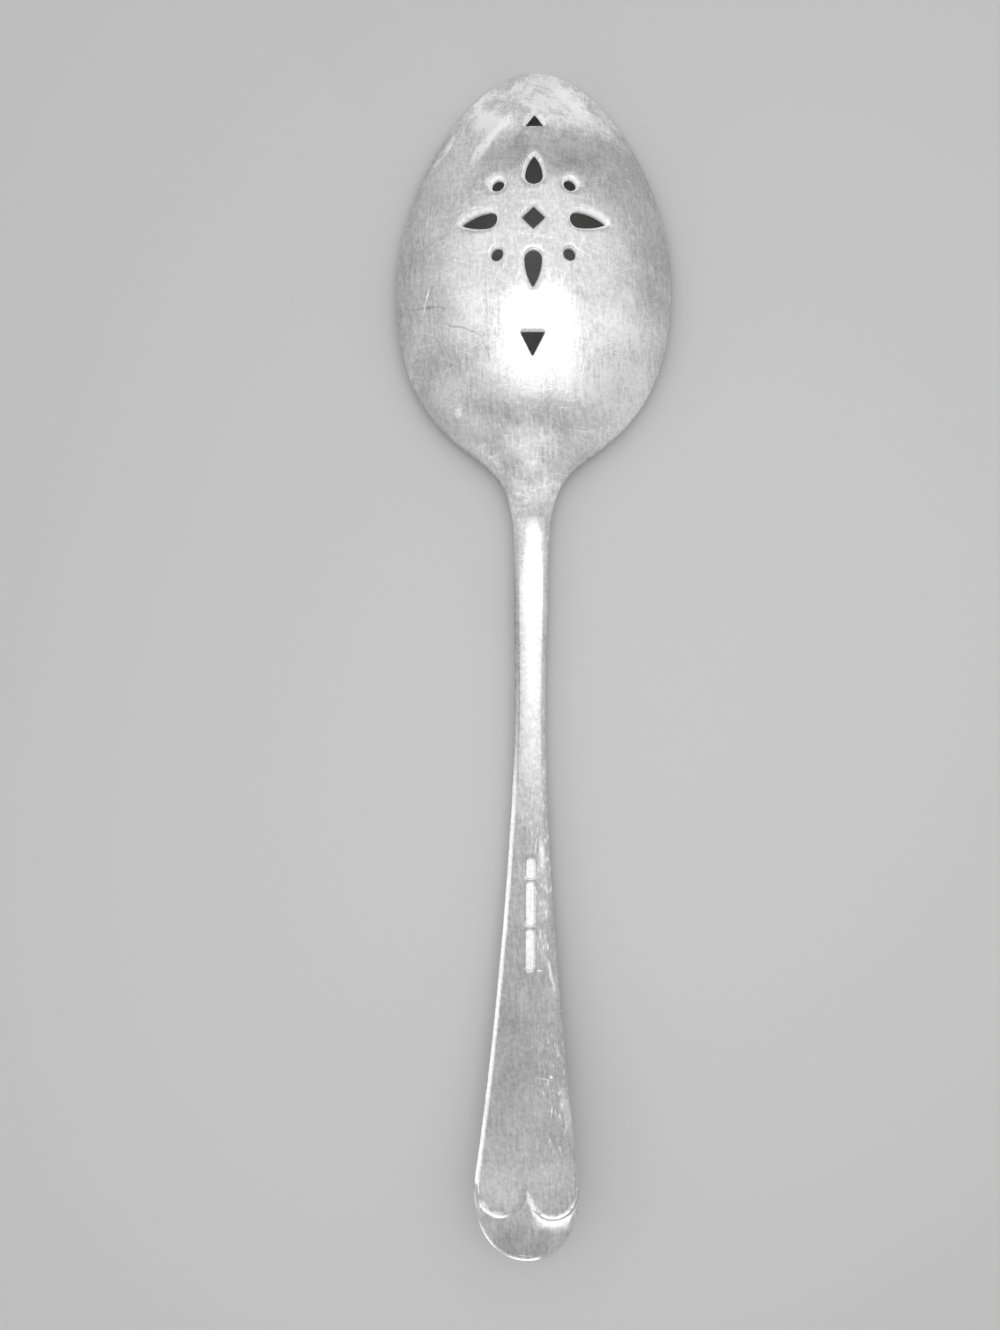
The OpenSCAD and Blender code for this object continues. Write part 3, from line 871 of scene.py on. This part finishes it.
def bevel_shade(at):
    """Painted shade on the left bevel of the stem, fading out towards the bowl and the handle."""
    start = smooth((at - BEVEL_SHADE_FROM) / BEVEL_SHADE_FADE)
    stop = smooth((BEVEL_SHADE_TO - at) / BEVEL_SHADE_FADE)
    return BEVEL_SHADE_LEVEL * start * stop


def stations(node):
    """Places of the sections along a piece, closer together towards the tip and the end."""
    start, stop = starts_at(node), TIP_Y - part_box(node)[0].y
    plain = np.linspace(start, stop, math.ceil((stop - start) / LOFT_STEP) + 1)
    if node == "bowl":
        tip = WIDEST_AT * (1 - np.cos(np.linspace(0, math.pi / 2, TIP_STEPS + 1)))
        return np.concatenate([tip, plain[plain > WIDEST_AT + LOFT_STEP / 2]])
    if node == "terminal":
        end = FLARE_AT + END_LENGTH * np.sin(np.linspace(0, math.pi / 2, END_STEPS + 1))
        return np.concatenate([plain[plain < FLARE_AT - LOFT_STEP / 2], end])
    return plain


def cross_row(start, stop, at, height):
    """Points across the spoon between two points of a section, without those two."""
    x = np.linspace(start[0], stop[0], ROW_STEPS + 1)[1:-1]
    places = np.full_like(x, at)
    return place(x, places, height(x, places))


def section_piece(node, material):
    """One length of the spoon as a closed skin."""
    shell = Shell()
    at = stations(node)
    right_strip, left_strip = edge_strip(at, 1), mirrored(edge_strip(at, -1))
    right, left = shell.add(right_strip), shell.add(left_strip)
    shell.grid(right)
    shell.grid(left)
    bevel_rows = left[:, 1:BEVEL_STEPS + WALL_STEPS]
    # The left bevel of the stem gets painted shade
    shell.painted_shade.append((bevel_rows, np.repeat(bevel_shade(at), bevel_rows.shape[1])))
    back_rows, front_rows = [NO_POINTS, NO_POINTS], [NO_POINTS, NO_POINTS]
    for end, is_open in ((0, node != "bowl"), (-1, node != "terminal")):
        if not is_open:
            continue
        start, stop = right_strip[end], left_strip[end]
        back_rows[end] = shell.add(cross_row(start[0], stop[0], at[end], back_height))
        front_rows[end] = shell.add(cross_row(start[-1], stop[-1], at[end], front_height))
        shell.cap([*right[end], *front_rows[end], *left[end][::-1], *back_rows[end][::-1]])
    back = np.concatenate([right[:, 0], back_rows[-1], left[::-1, 0], back_rows[0][::-1]])
    front = np.concatenate([right[:, -1], front_rows[-1], left[::-1, -1], front_rows[0][::-1]])
    back_loops, front_loops, creases, beside = [], [], [], NO_POINTS
    if node == "bowl":
        back_loops, front_loops = piercings(shell)
    if node == "handle":
        back_loops = sink_panels(shell)
    if node == "terminal":
        creases, beside = scroll_lines(shell)
        right_edge, left_edge, _ = creases
        # Painted shade along the crease of the scrolls
        right_shade, left_shade = scroll_crease_shade(len(right_edge))
        shell.painted_shade += [(right_edge, right_shade), (left_edge, left_shade)]
        shell.sharp += pairs(right_edge, False)
    shell.patch(back, NET_STEP[node], back_height, back_loops, creases, beside)
    shell.patch(front, max(NET_STEP[node], NET_STEP["neck"]), front_height, front_loops)
    piece = shell.build(node + "_skin", material)
    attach(piece, "root")
    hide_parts(node)


# Scratches, dings, worn patches and painted light and shade: across, from the tip, half length, half width,
# degrees from the spoon's length, lighter, rougher
BOWL_MARKS_AND_PAINTED_LIGHT = (
    # Painted light and shade: a lighter middle, and lighter and darker patches round the highlight, the
    # heel and the neck. The tip is rougher from wear and lighter as painted light
    (0, 0.049, 0.05, 0.027, 0, 0.2, 0),
    (0, 0.005, 0.017, 0.024, 0, 0.37, 0.46),
    (-0.0135, 0.064, 0.012, 0.012, 0, -0.14, 0),
    (-0.008, 0.052, 0.012, 0.007, 0, 0.15, 0),
    (0.002, 0.0195, 0.0075, 0.012, 0, -0.32, 0),
    (0.015, 0.058, 0.016, 0.01, -20, 0.32, 0),
    (-0.0155, 0.026, 0.013, 0.007, -15, 0.24, 0),
    (0.003, 0.0652, 0.0036, 0.014, 0, -0.32, 0),
    (0, 0.068, 0.016, 0.02, 0, 0.06, 0),
    (-0.0008, 0.0697, 0.0034, 0.0056, 0, 0.11, 0.13),
    (-0.0084, 0.0666, 0.0024, 0.0042, 10, 0.05, 0.05),
    (-0.0085, 0.0705, 0.003, 0.005, 30, -0.14, 0),
    (0.0005, 0.0795, 0.006, 0.009, 0, -0.1, 0.45),
    (0.0026, 0.0778, 0.0016, 0.0036, 0, 0.08, 0),
    (-0.0133, 0.064, 0.0016, 0.0009, 0, 0.35, 0.36),
    # Painted reflections: light streaks near the tip, on rougher metal
    (-0.005, 0.013, 0.0036, 0.0012, -46, 0.14, 0.2),
    (-0.0092, 0.0183, 0.005, 0.0013, -30, 0.24, 0.3),
    (0.007, 0.0076, 0.006, 0.002, 44, 0.06, 0.1),
    (0.0138, 0.0144, 0.007, 0.002, 44, 0.08, 0.12),
    (-0.0165, 0.016, 0.0055, 0.0012, -32, 0.12, 0.3),
    (0.0012, 0.0277, 0.0014, 0.0034, 0, 0.06, 0),
    (-0.0191, 0.045, 0.0034, 0.0002, -13, 0.5, 0.4),
    (-0.0186, 0.0464, 0.0052, 0.00022, 78, -0.3, 0),
    (-0.012, 0.0512, 0.005, 0.00022, 66, -0.32, 0),
    (-0.008, 0.0549, 0.0028, 0.00022, 23, -0.32, 0),
    (0.0014, 0.0364, 0.0042, 0.00024, 83, 0.45, 0.42),
    (0.0085, 0.0387, 0.0018, 0.00022, 64, 0.4, 0.4),
    (-0.0027, 0.0637, 0.002, 0.00014, 89, 0.2, 0.3),
    (0.0052, 0.0645, 0.0016, 0.00014, 91, 0.2, 0.3),
)
HANDLE_MARKS_AND_PAINTED_LIGHT = (
    # Painted light on the end and on the two lobes
    (0.0015, 0.194, 0.01, 0.006, 0, 0.1, 0),
    (-0.0045, 0.2005, 0.0065, 0.006, 0, 0.14, 0.04),
    (0.0045, 0.2005, 0.0065, 0.006, 0, 0.08, 0.04),
    # Painted sheen along the right of the handle, on rougher metal
    (0.0026, 0.153, 0.014, 0.0014, 0, 0.06, 0.1),
    # Painted highlight along the right bevel
    (0.0042, 0.1663, 0.0042, 0.0003, 11, 0.35, 0.3),
    (0.0024, 0.1447, 0.0032, 0.0005, 2, 0.3, 0.3),
    (0.0031, 0.1507, 0.0012, 0.0002, 0, 0.4, 0.4),
    (0.0031, 0.1552, 0.0009, 0.00024, 0, 0.4, 0.4),
    (0.0023, 0.159, 0.001, 0.0002, 0, 0.4, 0.4),
    (0.0022, 0.1654, 0.0006, 0.00018, 90, 0.5, 0.5),
    (0.0037, 0.161, 0.0007, 0.0002, 0, 0.4, 0.4),
    (0.003, 0.1846, 0.0022, 0.00018, 78, 0.3, 0.4),
    (0.0043, 0.1842, 0.0005, 0.00035, 70, 0.5, 0.5),
    (0.0072, 0.1905, 0.006, 0.0011, 14, 0.1, 0.2),
    # Painted highlights beside the scrolls' edges, and painted light and shade below them
    (0.001, 0.2058, 0.0026, 0.0009, 28, 0.5, 0.3),
    (-0.0054, 0.2072, 0.0018, 0.0006, 78, 0.4, 0.22),
    (-0.0073, 0.2062, 0.0018, 0.0006, 46, 0.4, 0.22),
    (0.0045, 0.2088, 0.0015, 0.0048, 0, 0.16, 0.1),
    (-0.0005, 0.2118, 0.0036, 0.0066, 0, -0.14, 0),
)
# Glinting dashes: across, from the tip, half length, half width, degrees from the spoon's length
BOWL_GLINTS = ((0, 0.032, 0.014, 0.014, 0),)
HANDLE_GLINTS = (
    (0.0016, 0.133, 0.022, 0.0026, 0),
    (0.003, 0.152, 0.02, 0.0024, 0),
    (0.005, 0.185, 0.018, 0.004, 0),
)

# Looks of the metal
MARK_FULL_SHARE = 0.5
WANDER_SIZE = 0.003
WANDER_REACH = 0.0012
NOISE_MIDDLE = 0.5
NOISE_RANGE = (0.3, 0.7)
HAIRLINE_RANGE = (0.65, 0.75)
HAIRLINE_DETAIL = 1.0
DASH_RANGE = (0.6, 0.7)
BASE_TONE = 0.61
# Cut metal is lighter, partly as frosted metal and partly as painted light
CUT_FROST_AND_PAINTED_LIGHT = 0.35
CUT_TONE_LIMIT = 0.93
TONE_LIMIT = 0.99
DARKEST_PATCH = -0.13
BASE_ROUGHNESS = 0.27
CUT_ROUGHNESS = 0.5
ROUGHNESS_LIMIT = 0.9
ROUGH_CUT_LEVEL = 0.4
MATTE_CUT_LEVEL = 0.3
MATTE_RANGE = (0.3, 0.6)
LEAST_METALLIC = 0.2
ANISOTROPY = 0.5

# Textures: size across, along and upwards, degrees from the spoon's length, detail
TEXTURES = {
    "mottle": ((0.006, 0.006, 0.006), 0, 4.0),
    "clouds": ((0.014, 0.014, 0.014), 0, 3.0),
    "flecks": ((0.0016, 0.0016, 0.0016), 0, 3.0),
    "speckle": ((0.0007, 0.0007, 0.0007), 0, 2.0),
    "streaks": ((0.00025, 0.007, 0.002), 0, 2.0),
    "fine": ((0.0005, 0.0022, 0.002), 8, 2.0),
}
DASHES = ((0.00035, 0.0016, 0.002), 0, 2.0)

# Hairlines: width, length, degrees from the spoon's length
HAIRLINES = (
    (0.0003, 0.011, 3),
    (0.00035, 0.008, -14),
    (0.0003, 0.007, 20),
    (0.00035, 0.007, 68),
    (0.00035, 0.007, -70),
    (0.0003, 0.009, 88),
)

# Shares of each texture in the tone, in the patches on rough metal and in the roughness
TONE_SHARES = {"mottle": 0.09, "clouds": 0.06, "speckle": 0.12, "streaks": 0.05, "fine": 0.06}
PATCH_SHARES = {"mottle": 2.0, "flecks": 2.0, "clouds": 1.0}
ROUGHNESS_SHARES = {"mottle": 0.04, "fine": 0.05, "streaks": 0.03}
ROUGH_PATCH_SHARE = 0.16
GLINT_SHARE = 0.4
# Share of the tone that is left under full painted shade
SHADED_TONE_SHARE = 0.3
MATTE_SHARE = 0.8
BOWL_LINE_SHARE = 0.16
HANDLE_LINE_SHARE = 0.07

# Heights of the textures and depth of the hairlines, in micrometres
BUMP_HEIGHTS = {"streaks": 1.2, "fine": 1.2, "speckle": 1.2, "mottle": 6.0}
HAIRLINE_DEPTH = 20.0


def even(size):
    return (size, size, size)


class Metal:
    """Material built from nodes that read the place on the metal."""

    def __init__(self, name):
        self.material = bpy.data.materials.new(name)
        self.material.use_nodes = True
        self.tree = self.material.node_tree
        self.shader = self.tree.nodes["Principled BSDF"]
        self.place = self.node("ShaderNodeTexCoord").outputs["Object"]

    def node(self, kind, inputs=None, **settings):
        node = self.tree.nodes.new(kind)
        for key, value in settings.items():
            setattr(node, key, value)
        for key, value in (inputs or {}).items():
            self.put(node.inputs[key], value)
        return node

    def put(self, socket, value):
        """Links an output to a socket, or sets the socket to a constant."""
        if isinstance(value, bpy.types.NodeSocket):
            self.tree.links.new(value, socket)
        else:
            socket.default_value = value

    def math(self, operation, *values):
        return self.node("ShaderNodeMath", dict(enumerate(values)), operation=operation).outputs[0]

    def vector_math(self, operation, *values):
        return self.node("ShaderNodeVectorMath", dict(enumerate(values)), operation=operation).outputs[0]

    def share(self, value, share):
        return self.math("MULTIPLY", value, share)

    def total(self, *values):
        result = values[0]
        for value in values[1:]:
            result = self.math("ADD", result, value)
        return result

    def spread(self, value, low, high, to_low=0.0, to_high=1.0):
        """Value taken from one range to another, and kept in it."""
        names = ("Value", "From Min", "From Max", "To Min", "To Max")
        inputs = dict(zip(names, (value, low, high, to_low, to_high)))
        return self.node("ShaderNodeMapRange", inputs).outputs[0]

    def level(self, name):
        """Level that the points of the mesh carry."""
        return self.node("ShaderNodeAttribute", attribute_name=name).outputs["Fac"]

    def at(self, size, turn=0, centre=(0, 0, 0), place=None):
        """Place on the metal, in units of a size whose second axis is turned from the spoon's length."""
        inputs = {"Vector": place or self.place, "Location": centre, "Scale": size,
                  "Rotation": (0, 0, math.radians(turn))}
        return self.node("ShaderNodeMapping", inputs, vector_type="TEXTURE").outputs[0]

    def noise(self, size, turn, detail):
        """Noise from 0 to 1 with features of a size."""
        inputs = {"Vector": self.at(size, turn), "Scale": 1.0, "Detail": detail}
        return self.node("ShaderNodeTexNoise", inputs).outputs[0]

    def texture(self, size, turn, detail):
        """Noise with more contrast, from -1 to 1."""
        return self.spread(self.noise(size, turn, detail), *NOISE_RANGE, -1.0, 1.0)

    def hairlines(self, width, length, turn):
        """Thin broken lines, turned from the spoon's length."""
        return self.spread(self.noise((width, length, length / 2), turn, HAIRLINE_DETAIL), *HAIRLINE_RANGE)

    def wandering_place(self):
        """Place on the metal, moved a little to and fro, which gives marks uneven edges."""
        inputs = {"Vector": self.at(even(WANDER_SIZE)), "Scale": 1.0}
        noise = self.node("ShaderNodeTexNoise", inputs).outputs["Color"]
        offset = self.vector_math("SUBTRACT", noise, even(NOISE_MIDDLE))
        return self.vector_math("MULTIPLY_ADD", offset, even(WANDER_REACH), self.place)

    def mark(self, place, x, at, half_length, half_width, turn):
        """Soft spot, 1 in its middle and 0 at its edge."""
        centre = (x, TIP_Y - at, 0)
        spot = self.at((half_width, half_length, 1), turn, centre, place)
        glow = self.node("ShaderNodeTexGradient", {"Vector": spot}, gradient_type="SPHERICAL").outputs[1]
        return self.spread(glow, 0.0, MARK_FULL_SHARE)


class Silver(Metal):
    """Worn, polished silver with hairlines, marks, painted light and shade, and glinting dashes."""

    def __init__(self, name, line_share, marks_and_painted_light, glint_places):
        super().__init__(name)
        self.line_share = line_share
        self.textures = {key: self.texture(*values) for key, values in TEXTURES.items()}
        self.lines = self.total(*(self.hairlines(*line) for line in HAIRLINES))
        place = self.wandering_place()
        spots = [(self.mark(place, *shape), lighter, rougher) for *shape, lighter, rougher in marks_and_painted_light]
        # Marks make the metal lighter or darker, and painted light and shade are among them
        self.lighter = self.total(*(self.share(spot, share) for spot, share, _ in spots))
        self.rougher = self.total(*(self.share(spot, share) for spot, _, share in spots if share))
        self.cut = self.level(CUT_MARK)
        self.painted_shade = self.level(PAINTED_SHADE_MARK)
        dashes = self.spread(self.noise(*DASHES), *DASH_RANGE)
        glints = [self.math("MULTIPLY", dashes, self.mark(place, *shape)) for shape in glint_places]
        self.glints = self.share(self.total(*glints), GLINT_SHARE)
        self.set_looks()

    def blend(self, shares):
        """Sum of the textures, each times its share."""
        return self.total(*(self.share(self.textures[key], share) for key, share in shares.items()))

    def grain(self):
        """How much lighter or darker the metal is than its plain tone, as a share of that tone."""
        rough_share = self.share(self.rougher, ROUGH_PATCH_SHARE)
        patches = self.math("MULTIPLY", self.blend(PATCH_SHARES), rough_share)
        return self.total(
            self.blend(TONE_SHARES),
            self.math("MAXIMUM", patches, DARKEST_PATCH),
            self.share(self.lines, self.line_share),
            self.glints,
        )

    def tone(self):
        """Grey of the metal: marks make it lighter or darker, with painted light and shade among them, cut
        edges are lighter, partly as painted light, and painted shade makes it darker.
        """
        tone = self.math("MULTIPLY_ADD", self.lighter, BASE_TONE, BASE_TONE)
        # Cut walls, lips and panel floors are lighter, partly as painted light
        tone = self.math("MULTIPLY_ADD", self.cut, CUT_FROST_AND_PAINTED_LIGHT, tone)
        tone = self.math("MINIMUM", tone, CUT_TONE_LIMIT)
        # Painted shade darkens the stem's left bevel and the crease along the scrolls
        tone = self.math("MULTIPLY", tone, self.spread(self.painted_shade, 0.0, 1.0, 1.0, SHADED_TONE_SHARE))
        tone = self.math("MULTIPLY_ADD", tone, self.grain(), tone)
        return self.math("MINIMUM", tone, TONE_LIMIT)

    def roughness(self):
        """Roughness, more in rough marks, in glints and on the walls of the holes."""
        rough = self.total(
            BASE_ROUGHNESS,
            self.blend(ROUGHNESS_SHARES),
            self.rougher,
            self.glints,
            self.spread(self.cut, ROUGH_CUT_LEVEL, FULL_CUT_LEVEL, 0.0, CUT_ROUGHNESS),
        )
        return self.math("MINIMUM", rough, ROUGHNESS_LIMIT)

    def metallic(self):
        """How metallic it is, less in rough marks, in glints and on the walls of the holes."""
        scuffs = self.spread(self.total(self.rougher, self.glints), *MATTE_RANGE, 0.0, MATTE_SHARE)
        walls = self.spread(self.cut, MATTE_CUT_LEVEL, FULL_CUT_LEVEL, 0.0, MATTE_SHARE)
        metallic = self.math("SUBTRACT", 1.0, self.total(walls, scuffs))
        return self.math("MAXIMUM", metallic, LEAST_METALLIC)

    def normal(self):
        """Normal, with the fine relief of the textures and the hairlines."""
        lines = self.share(self.lines, -HAIRLINE_DEPTH * self.line_share)
        height = self.total(self.blend(BUMP_HEIGHTS), lines)
        inputs = {"Height": height, "Distance": 1 / MICROMETRES, "Strength": 1.0}
        return self.node("ShaderNodeBump", inputs).outputs[0]

    def set_looks(self):
        tone = self.tone()
        tangent = self.node("ShaderNodeTangent", direction_type="UV_MAP", uv_map=GRAIN_MAP)
        looks = {
            "Base Color": self.node("ShaderNodeCombineColor", {0: tone, 1: tone, 2: tone}).outputs[0],
            "Metallic": self.metallic(),
            "Roughness": self.roughness(),
            "Normal": self.normal(),
            "Anisotropic": ANISOTROPY,
            "Tangent": tangent.outputs[0],
        }
        for key, value in looks.items():
            self.put(self.shader.inputs[key], value)


# Pieces
silvers = {
    "bowl_silver": Silver("bowl_silver", BOWL_LINE_SHARE, BOWL_MARKS_AND_PAINTED_LIGHT, BOWL_GLINTS),
    "handle_silver": Silver("handle_silver", HANDLE_LINE_SHARE, HANDLE_MARKS_AND_PAINTED_LIGHT, HANDLE_GLINTS),
}
for node, slot in SLOTS.items():
    section_piece(node, silvers[slot].material)

# Floor
FLOOR_HALF = 3
FLOOR_HEIGHT = -0.0002
FLOOR_GREY = 0.56
FLOOR_ROUGHNESS = 0.9
FLOOR_CORNERS = ((-1, -1), (1, -1), (1, 1), (-1, 1))


def grey(level):
    return (level, level, level, 1)


def plain_floor():
    mesh = bpy.data.meshes.new("floor")
    points = [(x * FLOOR_HALF, y * FLOOR_HALF, FLOOR_HEIGHT) for x, y in FLOOR_CORNERS]
    mesh.from_pydata(points, [], [(0, 1, 2, 3)])
    material = bpy.data.materials.new("floor")
    material.use_nodes = True
    shader = material.node_tree.nodes["Principled BSDF"]
    shader.inputs["Base Color"].default_value = grey(FLOOR_GREY)
    shader.inputs["Roughness"].default_value = FLOOR_ROUGHNESS
    mesh.materials.append(material)
    floor = new_object("floor", mesh)


plain_floor()

# Camera, with its focal length and the photograph's height in pixels
IMAGE_HEIGHT = 1330
FOCAL_PIXELS = 1040
CLIP_START = 0.01
CAMERA_AT = Vector((0.001, -0.0026, 0.1935))
LOOK_AT = Vector((-0.0057, -0.0026, 0))
CAMERA_RIGHT = Vector((1, 0.0074, 0))

camera_data = bpy.data.cameras.new("camera")
camera_data.lens = camera_data.sensor_width * FOCAL_PIXELS / IMAGE_HEIGHT
camera_data.clip_start = CLIP_START
camera = new_object("camera", camera_data)
back = (CAMERA_AT - LOOK_AT).normalized()
up = back.cross(CAMERA_RIGHT).normalized()
right = up.cross(back)
camera.matrix_world = Matrix.Translation(CAMERA_AT) @ Matrix((right, up, back)).transposed().to_4x4()
bpy.context.scene.camera = camera

# Light
WORLD_GREY = 0.62
world = bpy.data.worlds.new("studio")
world.use_nodes = True
world.node_tree.nodes["Background"].inputs["Color"].default_value = grey(WORLD_GREY)
bpy.context.scene.world = world
bpy.context.scene.view_settings.view_transform = "Standard"

# Lamps: place, target, width, depth, power in watts, and where not plain, spread in degrees and shape
LAMPS = {
    "over": ((0.028, 0.036, 0.207), (0.028, 0.036, 0), 0.215, 0.12, 0.073, 180, "ELLIPSE"),
    "over_stem": ((0.014, -0.017, 0.207), (0.014, -0.017, 0), 0.25, 0.052, 0.0257),
    "panel": ((0, 0.4, 0.72), (0, 0.05, 0), 3.1, 1.0, 3.6),
    "left": ((-0.3, -0.11, 0.15), (0, -0.085, 0.005), 0.16, 0.3, 0.011, 36),
    "corner": ((-0.24, -0.34, 0.14), (-0.01, -0.1, 0.005), 0.2, 0.15, 0.009, 36),
    "foot": ((-0.03, -0.4, 0.14), (0, -0.105, 0.01), 0.2, 0.15, 0.009, 36),
}


def area_light(name, at, target, width, depth, power, spread=180, shape="RECTANGLE"):
    data = bpy.data.lights.new(name, "AREA")
    data.shape = shape
    data.size = width
    data.size_y = depth
    data.energy = power
    data.spread = math.radians(spread)
    lamp = new_object(name, data)
    lamp.location = at
    lamp.rotation_euler = (Vector(target) - Vector(at)).to_track_quat("-Z", "Y").to_euler()
    lamp.visible_camera = False


for name, values in LAMPS.items():
    area_light(name, *values)
